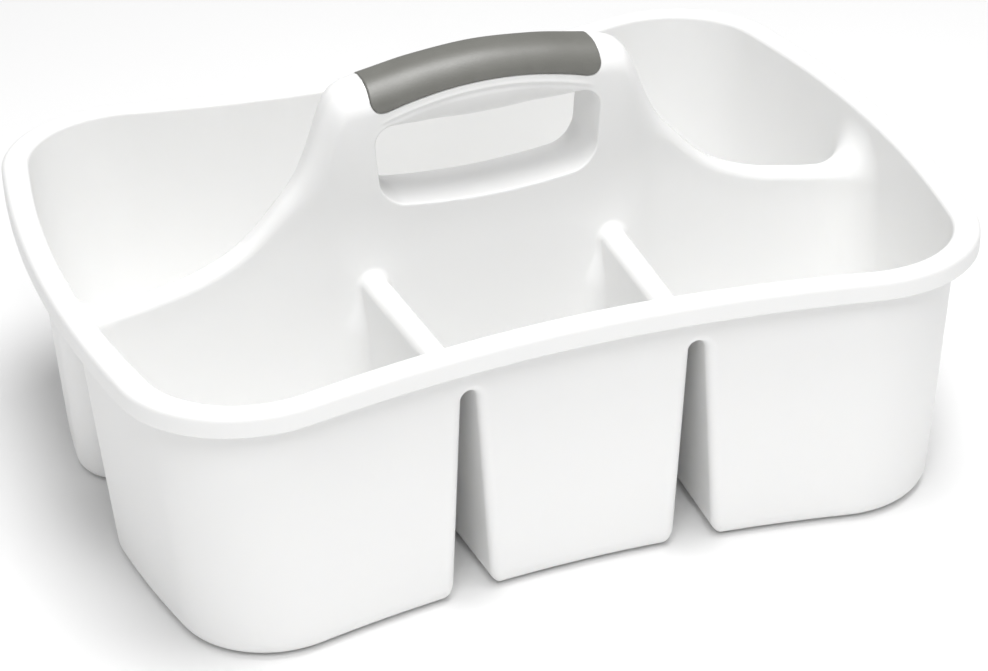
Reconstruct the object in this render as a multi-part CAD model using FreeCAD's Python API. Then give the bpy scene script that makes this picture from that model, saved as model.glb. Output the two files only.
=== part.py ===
# Cleaning caddy: moulded tray with three front compartments, one long rear compartment,
# a hollow centre spine that rises to a carrying bow, and a grip cover on the bow.
# Millimetres. +X along the length, +Y to the rear, +Z up. Origin: centre of the footprint,
# floor level.
import FreeCAD, Part
import math
import os

V = FreeCAD.Vector

# ---------------- tray and rim ----------------
WALL = 2.4                     # wall thickness
RIM_Z = 137.2                  # top of the rim
RIM_SKIRT = 11.0               # height of the turned-down lip
RIM_ROUND = 3.0                # outer top edge of the rim
RIM_OVERHANG = 9.75            # rim outline beyond the top of the tray
CORE_INSET = 0.3               # the rim hollow stops this far inside the tray surface
# plan outlines: half length, half width, corner radius, end bulge, side waist
TOP_PLAN = (183.10, 160.14, 50.51, 23.15, 29.85)    # at RIM_Z
FLOOR_PLAN = (175.20, 154.40, 44.50, 23.50, 25.10)  # at Z = 0
RIM_PLAN = [size + RIM_OVERHANG for size in TOP_PLAN[:3]] + list(TOP_PLAN[3:])
WAIST_EXP = 1.93               # exponent of the side waist along the length
MIN_PLAN_R = 5.0               # smallest corner radius of an inset outline

# ---------------- compartments ----------------
FLOOR_R = 9.0                  # radius round the floor, outside
CORNER_R = 15.0                # vertical corner radius inside a compartment
CORNER_OUTER_R = 8.0           # vertical corner radius where a divider meets the outer wall
CORNER_SWITCH_Y = -80.0        # in front of this, divider corners take the smaller radius
COMPARTMENT_TOP = 225.0        # compartment cutters run up to here
TRIM = 0.5                     # extra inset of the cutters above the tray
FRONT_CUT_Z = 101.0            # bottom of the cutter that lowers the dividers
# points inside each compartment, from which its outline is traced
CENTRES = {"mid": (0.0, -84.0), "right": (125.0, -84.0),
           "rear": (0.0, 84.0), "front": (0.0, -84.0)}
TRACE_RAYS = 360
TRACE_START = 0.0137           # first ray angle, radians
TRACE_REACH = 235.0
RUN_SAMPLES = 60               # steps in a densely sampled side or corner
# points per edge of an outline: with more than four edges, with four edges
EDGE_POINTS = {"spine": (13, 25), "shell": (19, 37), "divider": (5, 5), "outline": (11, 11),
               "spine corner": (5, 5), "divider corner": (5, 5)}

# ---------------- dividers ----------------
DIV_X = 55.0                   # divider centre at DIV_Y0
DIV_Y0 = -133.0
DIV_SPLAY = 0.052              # divider runs outward toward the spine
DIV_TOP = 112.6                # crown of a divider, an arch of radius DIV_ARCH_R
DIV_ARCH_R = 7.9
DIV_CROWN_FOOT = 80.0          # bottom of the prism that keeps the crown
DIV_CEIL = 109.8               # underside of that crown
DIV_CEIL_R = 3.3
DIV_GAP_TOP = 4.1              # half width of the hollow at SLOT_Z
DIV_GAP_SLOPE = 0.0558
SLOT_Z = 104.0                 # top of the open slots
BELOW_FLOOR = -2.0             # hollows open below start here

# ---------------- spine ----------------
SPINE_TOP_HALF = 5.6           # half thickness of the spine at its ridge
SPINE_SLOPE = 0.140            # draft of the spine walls
SPINE_TOP_INSET = 0.9          # share of the wall taken off each side at the ridge
# ridge of the spine: distance from the middle along X, height
RIDGE = [
    (0, 212.3), (30, 210.2), (52, 206.6), (60, 205.2), (66, 203.7), (70, 201.8),
    (74, 198.3), (77, 192.8), (80, 184.6), (84, 174.0), (88, 165.4), (92, 158.6),
    (100, 149.0), (110, 138.2), (120, 129.5), (130, 124.0), (140, 120.0), (150, 117.0),
    (160, 115.0), (170, 113.0), (180, 111.5), (190, 110.3), (205, 110.0), (260, 110.0)]
# handle posts: distance from the middle along X, half depth
POST = [(50.0, 15.5), (56.0, 15.5), (62.0, 15.4), (68.0, 14.0),
        (75.0, 11.6), (82.0, 8.0), (88.0, 5.0), (92.0, 4.2)]
POST_FOOT = 100.0
POST_DROP = 0.3                # post top below the bow and the ridge
POST_ROUND = 0.9               # height of the rounded top over the half depth
POST_ARC_POINTS = 17

# ---------------- hand opening ----------------
WIN_HALF_B, WIN_HALF_T = 53.6, 56.0   # half width at bottom and top
WIN_Z0, WIN_Z1 = 141.5, 185.5
WIN_SAG_R = 330.0              # the sill is a shallow arc, lowest in the middle
WIN_R = 12.0
WIN_CUT_HALF = 60.0            # half depth of the cutter
BOW_SPACE_Z = 165.0            # the spine is cleared above this between the posts

# ---------------- bow and grip ----------------
BOW_HALF = 15.8                # half depth of the bow with its grip
BOW_TOP, BOW_TOP_R = 212.3, 214.0     # crown height and arch radius of the grip
BOW_BOT = 178.0                # underside of the bow at mid length
BOW_RISE, BOW_RISE_X = 6.6, 46.0      # the underside rises by this towards the posts
BOW_RISE_EXP = 2.3
UPPER_EXP, LOWER_EXP = 2.25, 2.35     # superellipse exponents of the bow section
OVAL_POINTS = 40
BOW_SECTIONS = 13
GRIP_EDGE, GRIP_EDGE_R = 200.2, 172.0  # lower edge of the grip and its arch radius
GRIP_HALF = 57.0               # half length of the grip
GRIP_T = 2.6                   # thickness of the grip cover
GRIP_CORNER = 8.0
GRIP_CUT_HALF = 40.0           # half depth of the grip profile prism
GAP = 0.10                     # assembly clearance around the grip

CHANNEL_HALF = 8.0             # half depth of the channel in the top of the bow
CHANNEL_R = 3.0
CHANNEL_FLOOR, CHANNEL_END_FLOOR = 183.0, 189.0
# channel cells between the cross ribs: x from, x to, floor
CELLS = [(-50.0, -36.0, CHANNEL_END_FLOOR), (-33.5, -18.0, CHANNEL_FLOOR),
         (-15.5, 15.5, CHANNEL_FLOOR), (18.0, 33.5, CHANNEL_FLOOR),
         (36.0, 50.0, CHANNEL_END_FLOOR)]
CUT_H = 60.0                   # height of the box cutters
HOOK_PLACES = [(x, side) for x in (-25.8, 25.8) for side in (-1, 1)]
HOOK_FACE = CHANNEL_HALF - 0.2        # outer face of a hook arm, from the centre plane
HOOK_W, HOOK_T = 7.0, 2.0
HOOK_Z0, HOOK_Z1 = 187.6, 209.2
BARB_OUT, BARB_TIP_Z, BARB_TOP_Z = 1.5, 190.9, 191.2
CATCH_W, CATCH_DEPTH, CATCH_H = 9.0, 2.2, 4.6
CATCH_Z = HOOK_Z0 - 0.4


# ---------------- small helpers ----------------
def span(start, end, count):
    return [start + (end - start) * i / (count - 1.0) for i in range(count)]


def bisect(low, high, is_low):
    for _ in range(30):
        middle = (low + high) / 2
        if is_low(middle):
            low = middle
        else:
            high = middle
    return low, high


def arch(crown_z, radius, x):
    return crown_z - x * x / (2 * radius)


def superellipse(angle, exponent):
    c, s = math.cos(angle), math.sin(angle)
    power = 2.0 / exponent
    return math.copysign(abs(c) ** power, c), math.copysign(abs(s) ** power, s)


def spline_edge(points):
    curve = Part.BSplineCurve()
    curve.interpolate(points)
    return curve.toShape()


def axis_box(x0, x1, half_depth, z0, height):
    return Part.makeBox(x1 - x0, 2 * half_depth, height, V(x0, -half_depth, z0))


def side_box(x_mid, side, length, y_in, y_out, z0, height):
    """Box between two distances from the centre plane, in front (-1) or behind (1)."""
    y0 = y_in if side > 0 else -y_out
    return Part.makeBox(length, y_out - y_in, height, V(x_mid - length / 2, y0, z0))


def space_above(curve, top, half_depth):
    """Prism along Y over a smooth XZ curve, up to the height top."""
    low = [V(x, -half_depth, z) for x, z in curve]
    corners = [low[-1], V(low[-1].x, -half_depth, top), V(low[0].x, -half_depth, top), low[0]]
    edges = [spline_edge(low)] + [Part.makeLine(p, q) for p, q in zip(corners, corners[1:])]
    return Part.Face(Part.Wire(edges)).extrude(V(0, 2 * half_depth, 0))


def fillet_at(shape, z, radius):
    """Round the edges lying flat at height z."""
    # Guards against a fillet that fails at full radius: smaller ones are tried in turn.
    for scale in (1.0, 0.8, 0.6, 0.4):
        try:
            edges = [e for e in shape.Edges if abs(e.BoundBox.ZMin - z) < 1e-3
                     and abs(e.BoundBox.ZMax - z) < 1e-3]
            rounded = shape.makeFillet(radius * scale, edges)
            if rounded.isValid() and rounded.Volume > 0:
                return rounded
        except Exception:
            pass
    return shape


# ---------------- tray plan ----------------
def plan_at(z):
    t = z / RIM_Z
    return [low + (high - low) * t for high, low in zip(TOP_PLAN, FLOOR_PLAN)]


def outline(plan, inset):
    """Sides and corners of a rounded rectangle with bulged ends and waisted sides."""
    A, B, radius, bulge, waist = plan
    A, B, radius = A - inset, B - inset, max(radius - inset, MIN_PLAN_R)
    P, Q = A - radius, B - radius
    # side start, side end, centre of the corner that follows
    quarters = [((A, -Q), (A, Q), (P, Q)), ((P, B), (-P, B), (-P, Q)),
                ((-A, Q), (-A, -Q), (-P, -Q)), ((-P, -B), (P, -B), (P, -Q))]
    steps = [i / float(RUN_SAMPLES) for i in range(RUN_SAMPLES + 1)]
    runs = []
    for k, (start, end, centre) in enumerate(quarters):
        side = [(start[0] + (end[0] - start[0]) * f, start[1] + (end[1] - start[1]) * f)
                for f in steps]
        turns = [math.radians(90.0 * (k + f)) for f in steps]
        corner = [(centre[0] + radius * math.cos(t), centre[1] + radius * math.sin(t))
                  for t in turns]
        for points in (side, corner):
            runs.append(("outline", [
                (u + bulge * (1 - abs(v / B) ** 2) * (u / A),
                 v - waist * (1 - abs(u / A) ** WAIST_EXP) * (v / B)) for u, v in points]))
    return runs


def round_box(x, y, half_x, half_y, radius):
    """Signed distance to a rounded rectangle."""
    dx, dy = abs(x) - (half_x - radius), abs(y) - (half_y - radius)
    return math.hypot(max(dx, 0), max(dy, 0)) + min(max(dx, dy), 0) - radius


def tray_distance(x, y, plan):
    """Approximate signed distance to a plan outline, negative inside."""
    A, B, radius, bulge, waist = plan
    # undo the bulge and waist by iteration
    u, v = x, y
    for _ in range(12):
        u = x - bulge * (1 - min(abs(v / B), 1.6) ** 2) * (u / A)
        v = y + waist * (1 - min(abs(u / A), 1.6) ** WAIST_EXP) * (v / B)
    distance = round_box(u, v, A, B, radius)
    e = 1e-3
    du = (round_box(u + e, v, A, B, radius) - round_box(u - e, v, A, B, radius)) / (2 * e)
    dv = (round_box(u, v + e, A, B, radius) - round_box(u, v - e, A, B, radius)) / (2 * e)
    # partial derivatives of x and y by u and v, to scale the distance by its gradient
    ratio = abs(u / A)
    xu = 1 + bulge * (1 - (v / B) ** 2) / A
    xv = -bulge * 2 * (v / B) / B * (u / A)
    yu = waist * WAIST_EXP * ratio ** (WAIST_EXP - 1) / A * math.copysign(1.0, u) * (v / B)
    yv = 1 - waist * (1 - ratio ** WAIST_EXP) / B
    det = xu * yv - xv * yu
    return distance / math.hypot((du * yv - dv * yu) / det, (-du * xv + dv * xu) / det)


# ---------------- spine and divider laws ----------------
def ridge_slopes():
    """Slopes at the ridge points that keep the curve free of overshoot."""
    steps = [b[0] - a[0] for a, b in zip(RIDGE, RIDGE[1:])]
    grades = [(b[1] - a[1]) / h for a, b, h in zip(RIDGE, RIDGE[1:], steps)]
    slopes = [0.0] * len(RIDGE)
    for i in range(1, len(RIDGE) - 1):
        if grades[i - 1] * grades[i] > 0:
            w1 = 2 * steps[i] + steps[i - 1]
            w2 = steps[i] + 2 * steps[i - 1]
            slopes[i] = (w1 + w2) / (w1 / grades[i - 1] + w2 / grades[i])
    return slopes


SLOPES = ridge_slopes()


def ridge(x):
    """Height of the ridge: cubic Hermite curve through RIDGE."""
    x = min(abs(x), RIDGE[-1][0] - 1e-6)
    k = 0
    while RIDGE[k + 1][0] < x:
        k += 1
    h = RIDGE[k + 1][0] - RIDGE[k][0]
    t = (x - RIDGE[k][0]) / h
    return ((2 * t ** 3 - 3 * t ** 2 + 1) * RIDGE[k][1]
            + (t ** 3 - 2 * t ** 2 + t) * h * SLOPES[k]
            + (-2 * t ** 3 + 3 * t ** 2) * RIDGE[k + 1][1]
            + (t ** 3 - t ** 2) * h * SLOPES[k + 1])


def spine_half(x, z):
    return SPINE_TOP_HALF + SPINE_SLOPE * (ridge(x) - z)


def divider_x(y):
    return DIV_X + DIV_SPLAY * (y - DIV_Y0)


def divider_gap(z):
    return DIV_GAP_TOP + DIV_GAP_SLOPE * (SLOT_Z - z)


# ---------------- compartment outlines ----------------
def smooth_max(a, b, radius):
    return min(-radius, max(a, b)) + math.hypot(max(a + radius, 0), max(b + radius, 0))


def compartment_field(x, y, z, name, inset):
    """Value, negative inside the compartment, and the side it belongs to."""
    shell = tray_distance(x, y, plan_at(z)) + inset
    toward_spine = -y if name == "rear" else y
    spine = spine_half(x, z) + toward_spine - WALL + inset
    value = smooth_max(shell, spine, CORNER_R)
    if shell > -CORNER_R and spine > -CORNER_R:
        kind = "spine corner"
    else:
        kind = "shell" if shell > spine else "spine"
    if name in ("rear", "front"):
        return value, kind
    if name == "mid":
        divider = abs(x) - (divider_x(y) - divider_gap(z)) + inset
    else:
        divider = divider_x(y) + divider_gap(z) - x + inset
    radius = CORNER_R if y > CORNER_SWITCH_Y else CORNER_OUTER_R
    if value > -radius and divider > -radius:
        kind = "divider corner"
    elif divider > value:
        kind = "divider"
    return smooth_max(value, divider, radius), kind


def trace_ray(angle, z, name, inset):
    """Point where a ray leaves the compartment, and the side it meets."""
    cx, cy = CENTRES[name]
    c, s = math.cos(angle), math.sin(angle)

    def field(reach):
        return compartment_field(cx + reach * c, cy + reach * s, z, name, inset)

    reach = bisect(0.0, TRACE_REACH, lambda r: field(r)[0] < 0)[0]
    return (cx + reach * c, cy + reach * s), field(reach)[1]


def compartment(z, name, inset):
    """Sides and corners of a compartment at height z, starting with the spine side."""
    def kind_at(angle):
        return trace_ray(angle, z, name, inset)[1]

    angles = [TRACE_START + 2 * math.pi * i / TRACE_RAYS for i in range(TRACE_RAYS)]
    kinds = [kind_at(a) for a in angles]
    breaks = []
    for i in range(TRACE_RAYS):
        before = kinds[i - 1]
        if kinds[i] != before:
            low = angles[i - 1] if i else angles[-1] - 2 * math.pi
            low, high = bisect(low, angles[i], lambda a: kind_at(a) == before)
            breaks.append(((low + high) / 2, kinds[i]))
    runs = []
    for k, (a, kind) in enumerate(breaks):
        b = breaks[(k + 1) % len(breaks)][0]
        if b <= a:
            b += 2 * math.pi
        if b - a < 1e-4:
            continue
        runs.append((kind, [trace_ray(a + (b - a) * i / RUN_SAMPLES, z, name, inset)[0]
                            for i in range(RUN_SAMPLES + 1)]))
    start = next(i for i, run in enumerate(runs) if run[0] == "spine")
    return runs[start:] + runs[:start]


def even(points, count):
    """Resample a run at equal distances along it."""
    lengths = [0.0]
    for p, q in zip(points, points[1:]):
        lengths.append(lengths[-1] + math.hypot(q[0] - p[0], q[1] - p[1]))
    out = [points[0]]
    k = 0
    for i in range(1, count - 1):
        target = lengths[-1] * i / (count - 1)
        while lengths[k + 1] < target:
            k += 1
        f = (target - lengths[k]) / (lengths[k + 1] - lengths[k])
        p, q = points[k], points[k + 1]
        out.append((p[0] + (q[0] - p[0]) * f, p[1] + (q[1] - p[1]) * f))
    return out + [points[-1]]


# ---------------- lofts between two plan levels ----------------
def plan_wire(runs, z):
    edges = []
    for i, (kind, dense) in enumerate(runs):
        count = EDGE_POINTS[kind][len(runs) <= 4]
        points = [V(x, y, z) for x, y in even(dense, count)]
        next_x, next_y = runs[(i + 1) % len(runs)][1][0]
        points[-1] = V(next_x, next_y, z)
        if kind.endswith("corner"):
            edges.append(Part.Arc(points[0], points[2], points[-1]).toShape())
        else:
            edges.append(spline_edge(points))
    return Part.Wire(edges)


def plan_loft(z0, z1, runs_at):
    solid = Part.makeLoft([plan_wire(runs_at(z), z) for z in (z0, z1)], True, True)
    if solid.Volume < 0:
        solid.reverse()
    return solid


def tray_loft(z0, z1, inset):
    return plan_loft(z0, z1, lambda z: outline(plan_at(z), inset))


def rim_loft(z0, z1, inset):
    return plan_loft(z0, z1, lambda z: outline(RIM_PLAN, inset))


def compartment_loft(name, z0, inset):
    return plan_loft(z0, COMPARTMENT_TOP, lambda z: compartment(z, name, inset))


# ---------------- body parts and cutters ----------------
def tray_block():
    """Solid tray, rim and the blocks from which the spine is shaped."""
    tray = fillet_at(tray_loft(0.0, RIM_Z, 0.0), 0.0, FLOOR_R)
    tower = axis_box(-145.0, 145.0, 35.0, 60.0, 155.0)
    long_block = axis_box(-186.0, 186.0, 25.0, 60.0, 72.0)
    skirt_z = RIM_Z - RIM_SKIRT
    rim = fillet_at(rim_loft(skirt_z, RIM_Z, 0.0), RIM_Z, RIM_ROUND)
    under_rim = rim_loft(skirt_z - 1, RIM_Z - WALL, WALL).cut(
        tray_loft(100.0, 150.0, CORE_INSET))
    return tray.fuse([tower, long_block, rim]).cut(under_rim)


def compartment_cutters():
    right, mid, rear = [fillet_at(compartment_loft(name, WALL, WALL), WALL, FLOOR_R - WALL)
                        for name in ("right", "mid", "rear")]
    return [right, mid, rear, right.mirror(V(0, 0, 0), V(1, 0, 0))]


def window(offset):
    """Cutter of the hand opening, grown by offset."""
    b, t = WIN_HALF_B + offset, WIN_HALF_T + offset
    z0, z1 = WIN_Z0 - offset, WIN_Z1 + offset
    y = -WIN_CUT_HALF
    sill_end_z = z0 + b * b / (2 * WIN_SAG_R)
    left, right = V(-b, y, sill_end_z), V(b, y, sill_end_z)
    corners = [right, V(t, y, z1), V(-t, y, z1), left]
    edges = [Part.Arc(left, V(0, y, z0), right).toShape()]
    edges += [Part.makeLine(p, q) for p, q in zip(corners, corners[1:])]
    prism = Part.Face(Part.Wire(edges)).extrude(V(0, 2 * WIN_CUT_HALF, 0))
    depth_edges = [e for e in prism.Edges
                   if abs(e.BoundBox.YLength - 2 * WIN_CUT_HALF) < 1e-3]
    return prism.makeFillet(WIN_R + offset, depth_edges)


def bow_space(half):
    return axis_box(-half, half, 30.0, BOW_SPACE_Z, CUT_H)


def spine_hollow():
    """Hollow of the spine, open below, kept clear of the hand opening."""
    def section(x):
        z0, z1 = BELOW_FLOOR, ridge(x) - WALL
        low = spine_half(x, z0) - WALL
        high = SPINE_TOP_HALF - WALL * SPINE_TOP_INSET
        return Part.makePolygon([V(x, -low, z0), V(x, low, z0), V(x, high, z1),
                                 V(x, -high, z1), V(x, -low, z0)])

    hollow = Part.makeLoft([section(x) for x in span(-232, 232, 59)], True, False)
    return hollow.cut([window(WALL), bow_space(58.0),
                       axis_box(180.0, 240.0, 30.0, SLOT_Z, CUT_H),
                       axis_box(-240.0, -180.0, 30.0, SLOT_Z, CUT_H)])


def divider_hollow(side):
    def ring(z):
        gap = divider_gap(z)
        points = [V(side * divider_x(y) + k * gap, y, z)
                  for y, k in ((-200.0, -1), (-200.0, 1), (-18.0, 1), (-18.0, -1))]
        return Part.makePolygon(points + [points[0]])

    hollow = Part.makeLoft([ring(BELOW_FLOOR), ring(DIV_CEIL)], True, True)
    # Guards against the ceiling fillet failing: the hollow then stays square.
    try:
        hollow = hollow.makeFillet(DIV_CEIL_R, [
            e for e in hollow.Edges
            if e.BoundBox.ZMin > DIV_CEIL - 1 and e.BoundBox.YLength > 100])
    except Exception:
        pass
    return hollow


def above_ridge():
    """Everything above the ridge, within the tray walls."""
    curve = [(x, ridge(x)) for x in span(-230, 230, 121)]
    return space_above(curve, 240.0, 90.0).common(tray_loft(95.0, 245.0, WALL + TRIM))


def divider_crown(side):
    """Arched prism that keeps the crown of a divider."""
    wires = []
    for y in (-190.0, 10.0):
        x = side * divider_x(y)
        x0, x1, z = x - DIV_ARCH_R, x + DIV_ARCH_R, DIV_TOP - DIV_ARCH_R
        corners = [V(x1, y, z), V(x1, y, DIV_CROWN_FOOT), V(x0, y, DIV_CROWN_FOOT), V(x0, y, z)]
        top = Part.Arc(corners[-1], V(x, y, DIV_TOP), corners[0]).toShape()
        wires.append(Part.Wire([top] + [Part.makeLine(p, q)
                                        for p, q in zip(corners, corners[1:])]))
    return Part.makeLoft(wires, True, True)


def above_dividers():
    space = compartment_loft("front", FRONT_CUT_Z, WALL + TRIM)
    return space.cut([divider_crown(-1), divider_crown(1)])


def post_section(x, half):
    top = min(arch(BOW_TOP, BOW_TOP_R, x), ridge(x)) - POST_DROP
    rise = POST_ROUND * half
    arc = []
    for angle in span(0.0, math.pi, POST_ARC_POINTS):
        across, up = superellipse(angle, UPPER_EXP)
        arc.append(V(x, half * across, top - rise + rise * up))
    arc[0], arc[-1] = V(x, half, top - rise), V(x, -half, top - rise)
    corners = [arc[-1], V(x, -half, POST_FOOT), V(x, half, POST_FOOT), arc[0]]
    return Part.Wire([spline_edge(arc)]
                     + [Part.makeLine(p, q) for p, q in zip(corners, corners[1:])])


def oval(x, offset):
    """Closed section of the bow at x."""
    top = arch(BOW_TOP, BOW_TOP_R, x)
    edge = arch(GRIP_EDGE, GRIP_EDGE_R, x)
    bottom = BOW_BOT + BOW_RISE * min(abs(x) / BOW_RISE_X, 1.0) ** BOW_RISE_EXP
    points = []
    for i in range(OVAL_POINTS):
        angle = 2 * math.pi * (i + 0.5) / OVAL_POINTS - math.pi / 2
        upper = math.sin(angle) >= 0
        across, up = superellipse(angle, UPPER_EXP if upper else LOWER_EXP)
        height = (top - edge if upper else edge - bottom) + offset
        points.append(V(x, (BOW_HALF + offset) * across, edge + height * up))
    curve = Part.BSplineCurve()
    curve.interpolate(Points=points, PeriodicFlag=True)
    return Part.Wire([curve.toShape()])


def bow(offset, half):
    return Part.makeLoft([oval(x, offset) for x in span(-half, half, BOW_SECTIONS)], True, False)


def grip_profile(offset):
    """Prism over the arched lower edge of the grip, with rounded lower corners."""
    half = GRIP_HALF + offset
    curve = [(x, arch(GRIP_EDGE, GRIP_EDGE_R, x) - offset) for x in span(-half, half, 25)]
    prism = space_above(curve, 235.0, GRIP_CUT_HALF)
    edges = [e for e in prism.Edges if abs(e.BoundBox.YLength - 2 * GRIP_CUT_HALF) < 1e-3
             and e.BoundBox.ZMax < 220]
    # Guards against the corner fillet failing: the corners then stay sharp.
    try:
        prism = prism.makeFillet(GRIP_CORNER + offset, edges)
    except Exception:
        pass
    return prism


def cut_channel(body):
    """Channel in the top of the bow, with cross ribs left standing, and the hook catches."""
    for x0, x1, floor in CELLS:
        cell = axis_box(x0, x1, CHANNEL_HALF, floor, CUT_H)
        uprights = [e for e in cell.Edges if abs(e.BoundBox.ZLength - CUT_H) < 1e-6]
        body = body.cut(cell.makeFillet(CHANNEL_R, uprights))
    for x, side in HOOK_PLACES:
        body = body.cut(side_box(x, side, CATCH_W, HOOK_FACE, HOOK_FACE + CATCH_DEPTH,
                                 CATCH_Z, CATCH_H))
    return body


# ---------------- the two pieces ----------------
def make_body():
    body = tray_block()
    hollow = spine_hollow()
    cutters = [above_ridge()] + compartment_cutters()
    cutters += [above_dividers(), hollow, divider_hollow(-1), divider_hollow(1)]
    for cutter in cutters:
        body = body.cut(cutter)

    post = Part.makeLoft([post_section(x, half) for x, half in POST], True, False).cut(hollow)
    body = body.cut(bow_space(56.0))
    body = body.fuse([post, post.mirror(V(0, 0, 0), V(1, 0, 0))])
    body = body.cut(window(0.0))

    body = body.fuse(bow(0.0, 62.0))
    seat = bow(3.0, 61.5).cut(bow(-GRIP_T - GAP, 64.0)).common(grip_profile(GAP))
    return cut_channel(body.cut(seat))


def make_grip():
    shell = bow(0.0, 60.5).cut(bow(-GRIP_T, 64.0)).common(grip_profile(0.0))
    hooks = []
    for x, side in HOOK_PLACES:
        arm = side_box(x, side, HOOK_W, HOOK_FACE - HOOK_T, HOOK_FACE,
                       HOOK_Z0, HOOK_Z1 - HOOK_Z0)
        x0, y0 = x - HOOK_W / 2, side * HOOK_FACE
        wedge = Part.makePolygon([V(x0, y0, HOOK_Z0), V(x0, y0 + side * BARB_OUT, BARB_TIP_Z),
                                  V(x0, y0, BARB_TOP_Z), V(x0, y0, HOOK_Z0)])
        hooks += [arm, Part.Face(wedge).extrude(V(HOOK_W, 0, 0))]
    # trim the arms inside the thickness of the shell
    trimmed = hooks[0].fuse(hooks[1:]).common(bow(-GRIP_T * 0.5, 60.0))
    return shell.fuse(trimmed)


def export_largest(shape, name):
    max(shape.Solids, key=lambda solid: solid.Volume).exportStep("parts/" + name + ".step")


os.makedirs("parts", exist_ok=True)
export_largest(make_body(), "caddy_body")
export_largest(make_grip(), "handle_grip")
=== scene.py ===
"""White plastic caddy tray with a tall carrying handle and a soft grey grip on the handle's bow.

The tray stands on z = 0, centred on x = y = 0. The handle spine runs along x and splits the
tray into a front half (-y) and a back half (+y). Two dividers split the front half in three.
Shapes are signed fields in millimetres, negative inside, and are meshed in metres.
"""
import math
import bmesh
import bpy
import numpy as np
from mathutils import Matrix, Vector


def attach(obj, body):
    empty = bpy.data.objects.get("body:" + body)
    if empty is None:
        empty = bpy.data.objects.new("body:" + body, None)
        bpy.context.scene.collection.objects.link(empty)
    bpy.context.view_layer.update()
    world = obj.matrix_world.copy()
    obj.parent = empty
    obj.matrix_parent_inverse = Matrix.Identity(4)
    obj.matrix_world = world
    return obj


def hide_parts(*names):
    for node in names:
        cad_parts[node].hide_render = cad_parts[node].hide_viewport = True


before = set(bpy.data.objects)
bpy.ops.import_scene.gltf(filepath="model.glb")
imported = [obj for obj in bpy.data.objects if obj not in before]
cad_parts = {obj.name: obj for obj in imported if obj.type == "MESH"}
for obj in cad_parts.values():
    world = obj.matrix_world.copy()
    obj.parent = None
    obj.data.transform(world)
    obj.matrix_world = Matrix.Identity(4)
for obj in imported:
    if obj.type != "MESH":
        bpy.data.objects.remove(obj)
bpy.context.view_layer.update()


# ------------------------------------------------------------------ dimensions, millimetres
WALL = 2.4
RIM_Z = 137.2
SKIRT_Z = RIM_Z - 11.0  # lower edge of the rim's skirt
SKIRT_CUT = 12.0        # the skirt cut is blended in up to this far above its edge
TRAY_MARGIN = 3.6       # material kept outside the tray face below the skirt

# Plans: half length, half width, corner radius, bulge of the ends, draw-in of the long sides
TOP_PLAN = (183.10, 160.14, 50.51, 23.15, 29.85)
BOTTOM_PLAN = (175.20, 154.40, 44.50, 23.50, 25.10)
RIM_OVERHANG = 9.75
RIM_PLAN = tuple(round(size + RIM_OVERHANG, 2) for size in TOP_PLAN[:3]) + TOP_PLAN[3:]
WAIST_POWER = 1.93      # shape of the draw-in along x

RIM_INNER_ROUND, RIM_OUTER_ROUND = 2.6, 3.2
SPINE_FILLET, FLOOR_FILLET = 22.0, 7.0

# Dividers: centre line |x| = DIV_X + DIV_SPLAY * (y - DIV_Y0), walls leaning by DIV_SLOPE
DIV_X, DIV_SPLAY, DIV_Y0, DIV_TOP = 55.0, 0.052, -133.0, 112.6
DIV_GAP, DIV_GAP_Z, DIV_SLOPE = 4.1, 104.0, 0.0558  # half gap inside a divider, at this height
DIV_TOP_ROUND = 6.2
DIV_FILLET, DIV_FILLET_HIGH, DIV_FILLET_LOW = 2.6, 0.8, 6.6  # base, and what is added near y = 0
DIV_FILLET_Z, DIV_FILLET_Y = (84.0, 104.0), (-112.0, -70.0)

# Spine: half thickness below the ridge and its growth per millimetre downwards
SPINE_TOP, SPINE_SLOPE, SPINE_BLEND = 5.6, 0.140, 2.5
RIDGE_ROUND = 0.86      # ridge rounding as a share of the half width

# Ridge of the spine: |x|, height
RIDGE = [
    (0, 212.3), (30, 210.2), (52, 206.6), (60, 205.2), (66, 203.9), (70, 202.3),
    (74, 199.0), (77, 193.2), (80, 184.6), (84, 173.6), (88, 165.0), (92, 158.2),
    (100, 149.0), (110, 138.2), (120, 129.5), (130, 124.0), (140, 120.0), (150, 117.0),
    (160, 115.0), (170, 113.0), (180, 111.5), (190, 110.3), (205, 110.0), (260, 110.0)]
# Half width of the ridge: |x|, half width
RIDGE_HALF = [
    (0, 15.8), (50, 15.8), (58, 15.75), (64, 15.3), (70, 14.3), (75, 13.0),
    (80, 11.2), (87, 8.8), (98, 7.0), (110, 6.0), (125, 5.6), (260, 5.6)]
# Underside of the bow: |x|, rise above its height at the middle
UNDERSIDE = [
    (0, 0.0), (10, 0.2), (20, 0.8), (30, 2.1), (40, 4.8), (46, 6.4),
    (52, 7.2), (60, 7.6), (260, 7.6)]
CURVE_X = np.linspace(0, 260.0, 2601)
CURVE_SOFTNESS, CURVE_PAD = 2.5, 120  # smoothing width, and its reach in samples

# Hand opening below the bow
OPEN_HALF_LOW, OPEN_HALF_HIGH = 53.6, 56.0  # half length at OPEN_LOW and at OPEN_HIGH_REF
OPEN_LOW, OPEN_HIGH, OPEN_HIGH_REF = 141.5, 178.0, 180.0
OPEN_CORNER, OPEN_CORNER_LOSS, OPEN_CORNER_Z = 12.0, 2.5, (150.0, 174.0)
SILL_RADIUS, SILL_REACH = 330.0, 70.0
# Edge rounding: all round, under the bow's middle, and what the bow loses towards its ends
EDGE_ROUND, BOW_ROUND, BOW_ROUND_LOSS = 0.8, 16.2, 15.4
BOW_ROUND_X, BOW_ROUND_Z = (20.0, 55.0), (158.0, 176.0)

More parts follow.
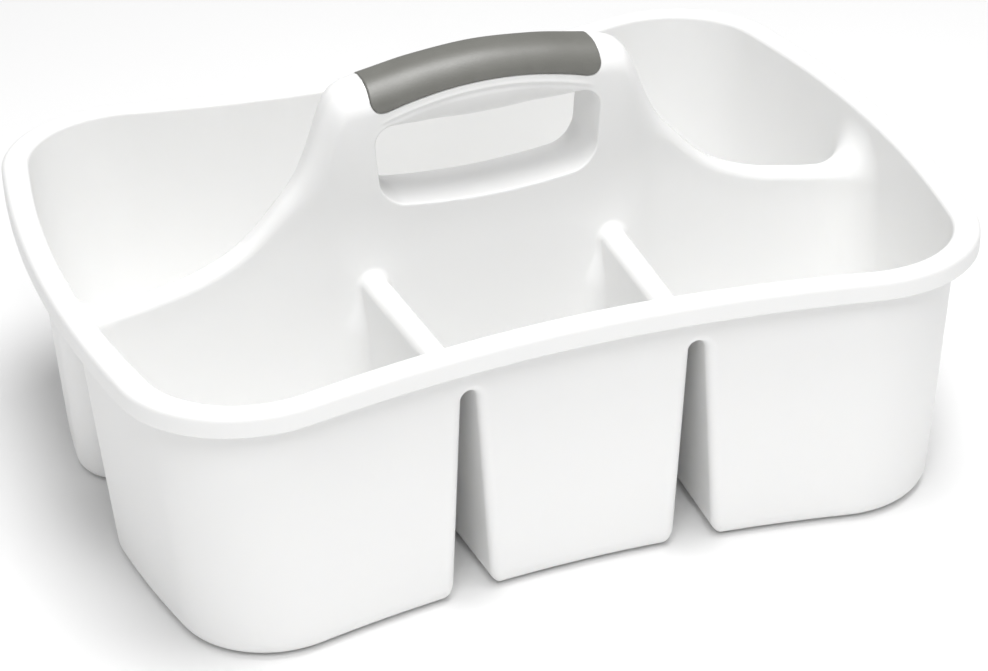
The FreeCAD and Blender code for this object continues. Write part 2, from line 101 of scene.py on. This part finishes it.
# Grip: its lower edge is an arc, highest at x = 0
GRIP_EDGE, GRIP_EDGE_RADIUS = 200.2, 172.0
GRIP_HALF, GRIP_DEPTH, GRIP_CORNER = 57.0, 2.6, 8.0
GRIP_INNER_ROUND, GRIP_EDGE_ROUND = 0.5, 0.55
SEAT_GAP, SEAT_ROUND = 0.15, 0.35
# The bow is solid here
CORE_HALF, CORE_LOW, CORE_CORNER, CORE_ROUND = GRIP_HALF + 0.5, 171.0, 4.0, 1.0

# White part of the bow: inset, and a ridge with a groove below it
BOW_INSET, BOW_INSET_X, BOW_INSET_Z = 0.3, (66.0, 84.0), (150.0, 175.0)
BEAD_DROP, BEAD_RADIUS, BEAD_LOW, BEAD_FADE_X = 4.6, 158.0, 165.0, (44.0, 56.0)
BEAD_OFFSET = 0.9       # of the ridge above and of the groove below their shared line
BEAD_RISE, BEAD_WIDTH = 0.30, 1.0
GROOVE_DEPTH, GROOVE_WIDTH = 0.34, 1.1


# ------------------------------------------------------------------ curves and blends
def smooth_curve(table):
    """Monotone cubic through the table's points, sampled at CURVE_X and lightly smoothed."""
    places, values = np.array(table, float).T
    gaps = np.diff(places)
    slopes = np.diff(values) / gaps
    tangents = np.zeros(len(places))
    for i in range(1, len(places) - 1):
        if slopes[i - 1] * slopes[i] > 0:
            before, after = 2 * gaps[i] + gaps[i - 1], gaps[i] + 2 * gaps[i - 1]
            tangents[i] = (before + after) / (before / slopes[i - 1] + after / slopes[i])
    k = np.clip(np.searchsorted(places, CURVE_X, side="right") - 1, 0, len(places) - 2)
    t = (CURVE_X - places[k]) / gaps[k]
    curve = ((2 * t ** 3 - 3 * t ** 2 + 1) * values[k]
             + (t ** 3 - 2 * t ** 2 + t) * gaps[k] * tangents[k]
             + (-2 * t ** 3 + 3 * t ** 2) * values[k + 1]
             + (t ** 3 - t ** 2) * gaps[k] * tangents[k + 1])
    # smoothing keeps the curvature even; the curve is mirrored at x = 0 and held at its end
    offsets = np.arange(-CURVE_PAD, CURVE_PAD + 1) * (CURVE_X[1] - CURVE_X[0])
    weights = np.exp(-0.5 * (offsets / CURVE_SOFTNESS) ** 2)
    weights /= weights.sum()
    padded = np.concatenate([curve[CURVE_PAD:0:-1], curve, np.full(CURVE_PAD, curve[-1])])
    return np.convolve(padded, weights, mode="valid")


RIDGE_CURVE = smooth_curve(RIDGE)
RIDGE_SLOPE = np.gradient(RIDGE_CURVE, CURVE_X)
HALF_CURVE = smooth_curve(RIDGE_HALF)
UNDERSIDE_CURVE = smooth_curve(UNDERSIDE)


def read_curve(curve, x):
    return np.interp(np.abs(x), CURVE_X, curve)


def round_max(a, b, radius):
    """Intersection of two fields with a rounded edge."""
    return (np.minimum(-radius, np.maximum(a, b))
            + np.hypot(np.maximum(a + radius, 0), np.maximum(b + radius, 0)))


def round_min(a, b, radius):
    """Union of two fields with a fillet."""
    return -round_max(-a, -b, radius)


def smooth_max(a, b, width):
    share = np.maximum(width - np.abs(a - b), 0.0) / width
    return np.maximum(a, b) + share * share * width * 0.25


def ease(start, end, value):
    """Soft step from 0 at start to 1 at end."""
    t = np.clip((value - start) / (end - start), 0, 1)
    return t * t * (3 - 2 * t)


# ------------------------------------------------------------------ fields of the parts
def plan_field(x, y, half_length, half_width, corner, bulge, waist):
    """Rounded rectangle with bulged ends and drawn-in long sides."""
    flat_x, flat_y = x, y
    for _ in range(9):  # fixed-point steps undo the bulge and the waist
        part_x, part_y = flat_x / half_length, flat_y / half_width
        flat_x = x - bulge * (1 - np.minimum(np.abs(part_y), 1.6) ** 2) * part_x
        flat_y = y + waist * (1 - np.minimum(np.abs(part_x), 1.6) ** WAIST_POWER) * part_y
    over_x, over_y = np.abs(flat_x) - (half_length - corner), np.abs(flat_y) - (half_width - corner)
    out_x, out_y = np.maximum(over_x, 0), np.maximum(over_y, 0)
    length = np.hypot(out_x, out_y)
    distance = length + np.minimum(np.maximum(over_x, over_y), 0) - corner
    divisor = np.maximum(length, 1e-9)
    inside = length <= 0
    sign_x, sign_y = np.sign(flat_x), np.sign(flat_y)
    slope_x = np.where(inside, (over_x >= over_y) * 1.0, out_x / divisor) * sign_x
    slope_y = np.where(inside, (over_x < over_y) * 1.0, out_y / divisor) * sign_y
    # the warp's derivatives turn the flat distance into a true one
    part_x, part_y = flat_x / half_length, flat_y / half_width
    abs_x, abs_y = np.abs(part_x), np.abs(part_y)
    x_by_x = 1 + bulge * (1 - abs_y ** 2) / half_length
    x_by_y = -bulge * 2 * abs_y / half_width * sign_y * part_x
    y_by_x = (waist * WAIST_POWER * np.maximum(abs_x, 1e-6) ** (WAIST_POWER - 1)
              / half_length * sign_x * part_y)
    y_by_y = 1 - waist * (1 - abs_x ** WAIST_POWER) / half_width
    area = x_by_x * y_by_y - x_by_y * y_by_x
    grad_x = (slope_x * y_by_y - slope_y * y_by_x) / area
    grad_y = (-slope_x * x_by_y + slope_y * x_by_x) / area
    return distance / np.maximum(np.hypot(grad_x, grad_y), 0.3)


def tray_field(x, y, z):
    """Tray's outer face, flaring from the bottom plan to the top plan."""
    t = np.clip(z / RIM_Z, -0.1, 1.3)
    return plan_field(x, y, *[low + (high - low) * t for high, low in zip(TOP_PLAN, BOTTOM_PLAN)])


def spine_field(x, y, z):
    ridge_z, slope = read_curve(RIDGE_CURVE, x), read_curve(RIDGE_SLOPE, x)
    ridge_half = read_curve(HALF_CURVE, x)
    web_half = SPINE_TOP + SPINE_SLOPE * np.maximum(ridge_z - z, -4.0)
    half = smooth_max(web_half, ridge_half, SPINE_BLEND)
    lean = SPINE_SLOPE * ease(-SPINE_BLEND, SPINE_BLEND, web_half - ridge_half)
    side = (np.abs(y) - half) / np.sqrt(1 + lean ** 2 * (1 + slope * slope))
    top = (z - ridge_z) / np.sqrt(1 + slope * slope)
    return round_max(side, top, RIDGE_ROUND * ridge_half)


def divider_field(x, y, z):
    centre = DIV_X + DIV_SPLAY * (y - DIV_Y0)
    half = DIV_GAP + WALL + DIV_SLOPE * (DIV_GAP_Z - z)
    field = round_max(np.abs(np.abs(x) - centre) - half, z - DIV_TOP, DIV_TOP_ROUND)
    return np.where(y > 0, np.maximum(field, 40.0), field)  # none in the back half


def opening_field(x, z):
    """Hand opening: its sill sags in the middle, and the bow's underside hangs in the middle."""
    spread = (OPEN_HALF_HIGH - OPEN_HALF_LOW) / (OPEN_HIGH_REF - OPEN_LOW)
    half = OPEN_HALF_LOW + spread * (z - OPEN_LOW)
    abs_x = np.abs(x)
    low = OPEN_LOW + np.minimum(abs_x, SILL_REACH) ** 2 / (2 * SILL_RADIUS)
    high = OPEN_HIGH + read_curve(UNDERSIDE_CURVE, x)
    return round_max(abs_x - half, np.abs(z - (low + high) / 2) - (high - low) / 2,
                     OPEN_CORNER - OPEN_CORNER_LOSS * ease(*OPEN_CORNER_Z, z))


def face_field(x, y, z):
    """Filled from below: its zero set is the surface seen from above."""
    field = round_max(-(tray_field(x, y, z) + WALL), z - RIM_Z, RIM_INNER_ROUND)
    field = round_min(field, spine_field(x, y, z), SPINE_FILLET)
    added = DIV_FILLET_HIGH + DIV_FILLET_LOW * (1 - ease(*DIV_FILLET_Z, z))
    fillet = DIV_FILLET + added * ease(*DIV_FILLET_Y, y)
    field = round_min(field, divider_field(x, y, z), fillet)
    field = round_min(field, z - WALL, FLOOR_FILLET)
    field = round_max(field, plan_field(x, y, *RIM_PLAN), RIM_OUTER_ROUND)
    # the opening's edge radius grows into the round underside of the bow
    abs_x = np.abs(x)
    bow_round = BOW_ROUND - BOW_ROUND_LOSS * ease(*BOW_ROUND_X, abs_x)
    edge_round = EDGE_ROUND + (bow_round - EDGE_ROUND) * ease(*BOW_ROUND_Z, z)
    near = (abs_x < 90) & (z > 120) & (np.abs(y) < 40)
    return np.where(near, round_max(field, -opening_field(x, z), edge_round), field)


def bead_relief(x, z):
    """Height of the ridge and groove on the bow below the grip."""
    above = z - (GRIP_EDGE - x * x / (2 * BEAD_RADIUS) - BEAD_DROP)
    ridge = BEAD_RISE * np.exp(-((above - BEAD_OFFSET) / BEAD_WIDTH) ** 2)
    groove = GROOVE_DEPTH * np.exp(-((above + BEAD_OFFSET) / GROOVE_WIDTH) ** 2)
    return (1 - ease(*BEAD_FADE_X, np.abs(x))) * (ridge - groove)


def grip_zone(x, z):
    edge = (GRIP_EDGE - x * x / (2 * GRIP_EDGE_RADIUS)) - z
    return round_max(edge, np.abs(x) - GRIP_HALF, GRIP_CORNER)


def body_field(points):
    """White body: a shell under the face, solid along the bow, with a seat for the grip."""
    x, y, z = points.T
    face = face_field(x, y, z)
    bow = np.nonzero((np.abs(x) < 100) & (z > 140) & (np.abs(y) < 40))[0]
    bow_x, bow_z = x[bow], z[bow]
    inset = BOW_INSET * (1 - ease(*BOW_INSET_X, np.abs(bow_x))) * ease(*BOW_INSET_Z, bow_z)
    face[bow] += inset - bead_relief(bow_x, bow_z) * (bow_z > BEAD_LOW)
    shell = np.abs(face + WALL / 2) - WALL / 2
    cut = np.maximum(TRAY_MARGIN - tray_field(x, y, z), z - SKIRT_Z)
    shell = np.where(z < SKIRT_Z + SKIRT_CUT, round_max(shell, -cut, 1.0), shell)
    core = round_max(np.abs(bow_x) - CORE_HALF, CORE_LOW - bow_z, CORE_CORNER)
    solid = np.minimum(shell[bow], round_max(face[bow], core, CORE_ROUND))
    seat = np.maximum(grip_zone(bow_x, bow_z) - SEAT_GAP, -(face[bow] + GRIP_DEPTH))
    shell[bow] = round_max(solid, -seat, SEAT_ROUND)
    return shell


def grip_field(points):
    x, y, z = points.T
    face = face_field(x, y, z)
    layer = round_max(face, -(face + GRIP_DEPTH), GRIP_INNER_ROUND)
    return round_max(layer, grip_zone(x, z), GRIP_EDGE_ROUND)


# ------------------------------------------------------------------ meshing a field
BLOCK = 4  # grid cells along each side of a coarse block


def in_chunks(function, points, size):
    """Run a function over the points in parts, to limit memory."""
    return np.concatenate([function(points[i:i + size]) for i in range(0, len(points), size)])


def gradients(field, points, reach=0.05):
    def central(part):
        result = np.empty_like(part)
        for a in range(3):
            moved = part.copy()
            moved[:, a] += reach
            ahead = field(moved)
            moved[:, a] -= 2 * reach
            result[:, a] = (ahead - field(moved)) / (2 * reach)
        return result
    return in_chunks(central, points, 300000)


def onto_surface(field, points, most):
    """Move points onto the zero surface of the field, at most the given distance."""
    values = in_chunks(field, points, 400000)
    grads = gradients(field, points)
    moves = values[:, None] * grads / np.maximum((grads * grads).sum(1), 0.2)[:, None]
    lengths = np.linalg.norm(moves, axis=1)
    return points - moves * np.minimum(1, most / np.maximum(lengths, 1e-9))[:, None]


def grid_axis(low, high, spacing, fine=()):
    """Grid stations, closer together in and around the fine (from, to, spacing) spans."""
    stations, place = [low], low
    while place < high:
        gap = spacing
        for start, end, close in fine:
            away = max(start - place, place - end, 0.0)
            gap = min(gap, close + 0.25 * away)
        place += gap
        stations.append(place)
    extra = -(len(stations) - 1) % BLOCK  # fill up the last coarse block
    stations = np.array(stations)
    added = stations[-1] + (stations[-1] - stations[-2]) * np.arange(1, extra + 1)
    return np.concatenate([stations, added])


def sample_grid(field, grid):
    """Field values on the grid, exact only in the coarse blocks near the surface."""
    centres = [(g[:-1:BLOCK] + g[BLOCK::BLOCK]) / 2 for g in grid]
    half_x, half_y, half_z = np.ix_(*[(g[BLOCK::BLOCK] - g[:-1:BLOCK]) / 2 for g in grid])
    reach = np.sqrt(half_x ** 2 + half_y ** 2 + half_z ** 2)
    middles = np.stack(np.meshgrid(*centres, indexing="ij"), -1).reshape(-1, 3)
    coarse = in_chunks(field, middles, 400000).reshape(reach.shape)
    near = np.argwhere(np.abs(coarse) < reach * 1.25 + 0.2)
    values = np.where(coarse < 0, -9.0, 9.0).astype(np.float32)
    for a in range(3):
        values = np.repeat(values, BLOCK, a)
    values = np.pad(values, ((0, 1),) * 3, mode="edge")
    mask = np.zeros(values.shape, bool)
    for offset in np.ndindex((BLOCK + 1,) * 3):
        mask[tuple((near * BLOCK + offset).T)] = True
    nodes = np.argwhere(mask)
    places = np.stack([grid[a][nodes[:, a]] for a in range(3)], 1)
    values[mask] = in_chunks(field, places, 400000)
    return values


def contour(field, *grid):
    """Surface nets on the grid, then moved onto the surface: points and quads."""
    values = sample_grid(field, grid)
    inside = values < 0
    cells = np.array(values.shape) - 1
    stride = np.array([cells[1] * cells[2], cells[2], 1])
    keys, crossings, quads = [], [], []
    for a in range(3):
        lower, upper = [slice(None)] * 3, [slice(None)] * 3
        lower[a], upper[a] = slice(0, -1), slice(1, None)
        start = np.argwhere(inside[tuple(lower)] != inside[tuple(upper)])
        sides = [(a + 1) % 3, (a + 2) % 3]
        across = start[:, sides]
        start = start[((across > 0) & (across < cells[sides])).all(1)]
        end = start.copy()
        end[:, a] += 1
        value, next_value = [values[tuple(ends.T)].astype(float) for ends in (start, end)]
        share = value / (value - next_value)
        crossing = np.stack([grid[m][start[:, m]] for m in range(3)], 1)
        crossing[:, a] += share * (grid[a][end[:, a]] - grid[a][start[:, a]])
        corners = []
        for offset in ((-1, -1), (0, -1), (0, 0), (-1, 0)):
            cell = start.copy()
            cell[:, sides] += offset
            corners.append(cell @ stride)
            crossings.append(crossing)
        keys += corners
        quad = np.stack(corners, 1)
        flip = value > 0
        quad[flip] = quad[flip][:, ::-1]
        quads.append(quad)
    used, owner = np.unique(np.concatenate(keys), return_inverse=True)
    owner = owner.ravel()
    crossings = np.concatenate(crossings)
    count = np.bincount(owner, minlength=len(used)).astype(float)
    points = np.stack([np.bincount(owner, crossings[:, a], len(used)) / count
                       for a in range(3)], 1)
    return onto_surface(field, points, 0.5), np.searchsorted(used, np.concatenate(quads))


# ------------------------------------------------------------------ meshes
def make_object(name, points, faces, material, target, weights):
    """Object from points and quads, thinned to about the target number of triangles."""
    mesh = bpy.data.meshes.new(name)
    mesh.from_pydata((points / 1000.0).tolist(), [], faces.tolist())
    mesh.update()
    ob = bpy.data.objects.new(name, mesh)
    bpy.context.scene.collection.objects.link(ob)
    if 2 * len(faces) > target:
        # vertex weights keep the fine relief dense while the broad walls are thinned
        group = ob.vertex_groups.new(name="thin")
        for level in np.unique(weights):
            group.add(np.nonzero(weights == level)[0].tolist(), float(level), "REPLACE")
        thin = ob.modifiers.new("thin", "DECIMATE")
        thin.ratio = target / (2 * len(faces))
        thin.use_collapse_triangulate = True
        thin.vertex_group = "thin"
        thin.vertex_group_factor = 1.0
        graph = bpy.context.evaluated_depsgraph_get()
        thinned = bpy.data.meshes.new_from_object(ob.evaluated_get(graph))
        ob.modifiers.clear()
        ob.data = thinned
        bpy.data.meshes.remove(mesh)
        thinned.name = name
        mesh = thinned
        ob.vertex_groups.clear()
    mesh.polygons.foreach_set("use_smooth", [True] * len(mesh.polygons))
    mesh.materials.append(material)
    return ob


def read_points(mesh):
    flat = np.empty(len(mesh.vertices) * 3, np.float64)
    mesh.vertices.foreach_get("co", flat)
    return flat.reshape(-1, 3) * 1000.0


def read_triangles(mesh):
    mesh.calc_loop_triangles()
    flat = np.empty(len(mesh.loop_triangles) * 3, np.int32)
    mesh.loop_triangles.foreach_get("vertices", flat)
    return flat.reshape(-1, 3)


def unit(vectors, least=1e-9):
    return vectors / np.maximum(np.linalg.norm(vectors, axis=1), least)[:, None]


def face_normals(points, tris):
    first, second, third = (points[tris[:, k]] for k in range(3))
    return unit(np.cross(second - first, third - first), 1e-12)


def field_normals(field, points):
    return unit(gradients(field, points, 0.12))


def relay_floors(mesh, floor_z, tolerance=0.04):
    """Lay each flat compartment floor again as one clean sheet inside its own outline."""
    bm = bmesh.new()
    bm.from_mesh(mesh)

    def is_flat(part):
        return all(abs(p.co.z * 1000.0 - floor_z) < tolerance for p in part.verts)

    bmesh.ops.delete(bm, geom=[f for f in bm.faces if is_flat(f)], context="FACES")
    outline = [e for e in bm.edges if e.is_boundary and is_flat(e)]
    sheets = bmesh.ops.holes_fill(bm, edges=outline, sides=0)["faces"]
    bm.normal_update()
    for sheet in sheets:
        if sheet.normal.z < 0:
            sheet.normal_flip()
    filled = bmesh.ops.triangulate(bm, faces=sheets, quad_method="BEAUTY", ngon_method="BEAUTY")
    for face in filled["faces"]:
        face.smooth = True
    bm.to_mesh(mesh)
    bm.free()
    mesh.update()


def settle(mesh, field):
    """Put the mesh's points on the exact surface; return them and the triangles."""
    start = read_points(mesh)
    tris = read_triangles(mesh)
    start_normals = face_normals(start, tris)
    points = start
    for _ in range(2):
        points = onto_surface(field, points, 0.25)
    for _ in range(4):
        # a point whose move would fold a face stays where it was
        folded = (face_normals(points, tris) * start_normals).sum(1) < 0.5
        kept = np.unique(tris[folded])
        points[kept] = start[kept]
    mesh.vertices.foreach_set("co", (points / 1000.0).ravel())
    mesh.update()
    return points, tris


def polish(ob, field, floor_z=None):
    """Settle the mesh on the surface and shade it with the surface's own normals."""
    mesh = ob.data
    points, tris = settle(mesh, field)
    if floor_z is not None:
        relay_floors(mesh, floor_z)
        points = read_points(mesh)
        tris = read_triangles(mesh)
    normals = field_normals(field, points)
    # where a field normal disagrees with the faces around the point, the mesh's own is used
    flat = face_normals(points, tris)
    mean = np.zeros_like(points)
    for k in range(3):
        for a in range(3):
            mean[:, a] += np.bincount(tris[:, k], flat[:, a], len(points))
    mean = unit(mean)
    off = (normals * mean).sum(1) < 0.8
    normals[off] = mean[off]
    # a long triangle that ends in a corner keeps the normal of its own wall there
    corners = normals[tris]
    centres = points[tris].mean(1)
    size = np.linalg.norm(points[tris] - centres[:, None], axis=2)
    i, k = np.nonzero(((corners * flat[:, None]).sum(2) < 0.988) & (size > 2.5))
    if len(i):
        place = points[tris[i, k]]
        share = np.minimum(3.0, 0.5 * size[i, k]) / size[i, k]
        wall = field_normals(field, place + (centres[i] - place) * share[:, None])
        agrees = (wall * flat[i]).sum(1) > 0.985
        corners[i, k] = np.where(agrees[:, None], wall, flat[i])
    loops = np.empty(len(tris) * 3, np.int32)
    mesh.loop_triangles.foreach_get("loops", loops)
    split = normals[np.array([loop.vertex_index for loop in mesh.loops])]
    split[loops] = corners.reshape(-1, 3)
    mesh.normals_split_custom_set(split.tolist())


# ------------------------------------------------------------------ materials
def new_material(name):
    """Material with a Principled shader; also gives its tree, shader and object coordinates."""
    material = bpy.data.materials.new(name)
    material.use_nodes = True
    tree = material.node_tree
    tree.nodes.clear()
    out = tree.nodes.new("ShaderNodeOutputMaterial")
    shader = tree.nodes.new("ShaderNodeBsdfPrincipled")
    tree.links.new(shader.outputs[0], out.inputs[0])
    place = tree.nodes.new("ShaderNodeTexCoord").outputs["Object"]
    return material, tree, shader, place


def set_inputs(node, values):
    for name, value in values.items():
        node.inputs[name].default_value = value


def noise(tree, place, scale, detail, roughness=0.5):
    node = tree.nodes.new("ShaderNodeTexNoise")
    set_inputs(node, {"Scale": scale, "Detail": detail, "Roughness": roughness})
    tree.links.new(place, node.inputs["Vector"])
    return node.outputs["Fac"]


def colour(tree, shader, factor, *stops):
    """Base colour from a ramp with two (position, rgb) stops."""
    node = tree.nodes.new("ShaderNodeValToRGB")
    for element, (position, rgb) in zip(node.color_ramp.elements, stops):
        element.position, element.color = position, (*rgb, 1)
    tree.links.new(factor, node.inputs[0])
    tree.links.new(node.outputs[0], shader.inputs["Base Color"])


def multiply_add(tree, value, factor, addend):
    node = tree.nodes.new("ShaderNodeMath")
    node.operation = "MULTIPLY_ADD"
    tree.links.new(value, node.inputs[0])
    node.inputs[1].default_value = factor
    if isinstance(addend, float):
        node.inputs[2].default_value = addend
    else:
        tree.links.new(addend, node.inputs[2])
    return node.outputs[0]


def bump(tree, shader, height, strength, distance):
    node = tree.nodes.new("ShaderNodeBump")
    set_inputs(node, {"Strength": strength, "Distance": distance})
    tree.links.new(height, node.inputs["Height"])
    tree.links.new(node.outputs[0], shader.inputs["Normal"])


def white_plastic():
    material, tree, shader, place = new_material("white_polypropylene")
    cloud = noise(tree, place, scale=9.0, detail=3.0)
    colour(tree, shader, cloud, (0.25, (0.925, 0.926, 0.921)), (0.8, (0.945, 0.945, 0.937)))
    flow = noise(tree, place, scale=38.0, detail=5.0, roughness=0.6)
    gloss = multiply_add(tree, flow, factor=0.16, addend=0.30)
    tree.links.new(gloss, shader.inputs["Roughness"])
    set_inputs(shader, {
        "IOR": 1.49,
        "Subsurface Weight": 0.10,
        "Subsurface Radius": (1.0, 0.95, 0.85),
        "Subsurface Scale": 0.0025,
    })
    fine = noise(tree, place, scale=2300.0, detail=2.0)
    wave = noise(tree, place, scale=60.0, detail=2.0)
    height = multiply_add(tree, wave, factor=3.0, addend=fine)
    bump(tree, shader, height, strength=0.22, distance=0.00004)
    return material


def grey_grip():
    material, tree, shader, place = new_material("grey_soft_grip")
    cloud = noise(tree, place, scale=45.0, detail=5.0, roughness=0.65)
    colour(tree, shader, cloud, (0.3, (0.150, 0.149, 0.134)), (0.75, (0.182, 0.181, 0.164)))
    fine = noise(tree, place, scale=1500.0, detail=3.0, roughness=0.6)
    gloss = multiply_add(tree, fine, factor=0.16, addend=0.38)
    tree.links.new(gloss, shader.inputs["Roughness"])
    set_inputs(shader, {"IOR": 1.5, "Specular IOR Level": 1.0})
    pebbles = tree.nodes.new("ShaderNodeTexVoronoi")
    pebbles.inputs["Scale"].default_value = 1400.0
    tree.links.new(place, pebbles.inputs["Vector"])
    height = multiply_add(tree, pebbles.outputs["Distance"], factor=-0.9, addend=fine)
    bump(tree, shader, height, strength=0.55, distance=0.00008)
    return material


def studio_floor():
    material, tree, shader, place = new_material("studio_floor")
    tone = 0.97
    cloud = noise(tree, place, scale=3.0, detail=2.0)
    colour(tree, shader, cloud, (0.3, (0.99 * tone,) * 3), (0.7, (tone,) * 3))
    shader.inputs["Roughness"].default_value = 0.6
    return material


# ------------------------------------------------------------------ the two pieces
def build_body(material):
    points, quads = contour(
        body_field,
        grid_axis(-222, 222, 1.15, [(-60, 60, 0.75)]),
        grid_axis(-162, 162, 1.15, [(-17, 17, 0.75)]),
        grid_axis(-4.5, 216, 1.15, [(176, 204, 0.6), (124, 139, 0.9)]))
    x, y, z = np.abs(points[:, 0]), np.abs(points[:, 1]), points[:, 2]
    bow = (x < 61) & (y < 19) & (z > 176)
    sill = (x < 60) & (y < 19) & (z > 136)
    weights = np.where(bow, 0.25, np.where(sill, 0.6, 1.0))
    ob = make_object("caddy_body_visual", points, quads, material, 196000, weights)
    polish(ob, body_field, floor_z=WALL)
    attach(ob, "root")
    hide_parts("caddy_body")


def build_grip(material):
    spans = ((-63, 63), (-19, 19), (180, 216))
    points, quads = contour(grip_field, *[grid_axis(*span, 0.7) for span in spans])
    weights = np.ones(len(points))
    ob = make_object("handle_grip_visual", points, quads, material, 90000, weights)
    polish(ob, grip_field)
    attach(ob, "root")
    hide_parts("handle_grip")


# ------------------------------------------------------------------ stage, metres
scene = bpy.context.scene


def add_floor(half, drop):
    mesh = bpy.data.meshes.new("floor")
    square = [(-half, -half, 0), (half, -half, 0), (half, half, 0), (-half, half, 0)]
    mesh.from_pydata(square, [], [(0, 1, 2, 3)])
    floor = bpy.data.objects.new("floor", mesh)
    scene.collection.objects.link(floor)
    mesh.materials.append(studio_floor())
    floor.location.z = -drop
    return floor


def add_light(name, place, target, size, power):
    light = bpy.data.lights.new(name, "AREA")
    light.shape, light.size, light.energy = "DISK", size, power
    ob = bpy.data.objects.new(name, light)
    scene.collection.objects.link(ob)
    ob.location = place
    ob.rotation_euler = (Vector(target) - Vector(place)).to_track_quat("-Z", "Y").to_euler()


def add_world(strength):
    world = bpy.data.worlds.new("studio")
    scene.world = world
    world.use_nodes = True
    background = world.node_tree.nodes["Background"]
    set_inputs(background, {"Color": (1.0, 1.0, 1.0, 1), "Strength": strength})


def add_camera(place, lens, yaw, pitch, roll):
    """Camera turned by yaw from +y towards +x, tilted down by pitch; angles in radians."""
    data = bpy.data.cameras.new("camera")
    camera = bpy.data.objects.new("camera", data)
    scene.collection.objects.link(camera)
    data.sensor_width = 36.0
    data.lens = lens
    data.clip_end = 50.0
    forward = Vector((math.sin(yaw) * math.cos(pitch), math.cos(yaw) * math.cos(pitch),
                      -math.sin(pitch)))
    level = Vector((math.cos(yaw), -math.sin(yaw), 0.0))
    below = forward.cross(level)
    right = math.cos(roll) * level + math.sin(roll) * below
    down = -math.sin(roll) * level + math.cos(roll) * below
    camera.matrix_world = Matrix((*zip(right, -down, -forward, place), (0, 0, 0, 1)))
    scene.camera = camera


white, grey = white_plastic(), grey_grip()
build_body(white)
build_grip(grey)
floor = add_floor(half=6.0, drop=0.0002)
add_light("key", place=(-0.45, -1.35, 1.95), target=(0, 0, 0.08), size=1.1, power=18.5)
add_light("top", place=(0.15, -0.2, 2.25), target=(0, 0, 0.05), size=1.3, power=36.0)
add_world(strength=0.305)
add_camera(place=(-0.42878, -1.14983, 0.78458), lens=105.9868421,
           yaw=0.36174, pitch=0.53680, roll=0.01798)
scene.view_settings.view_transform = "Standard"
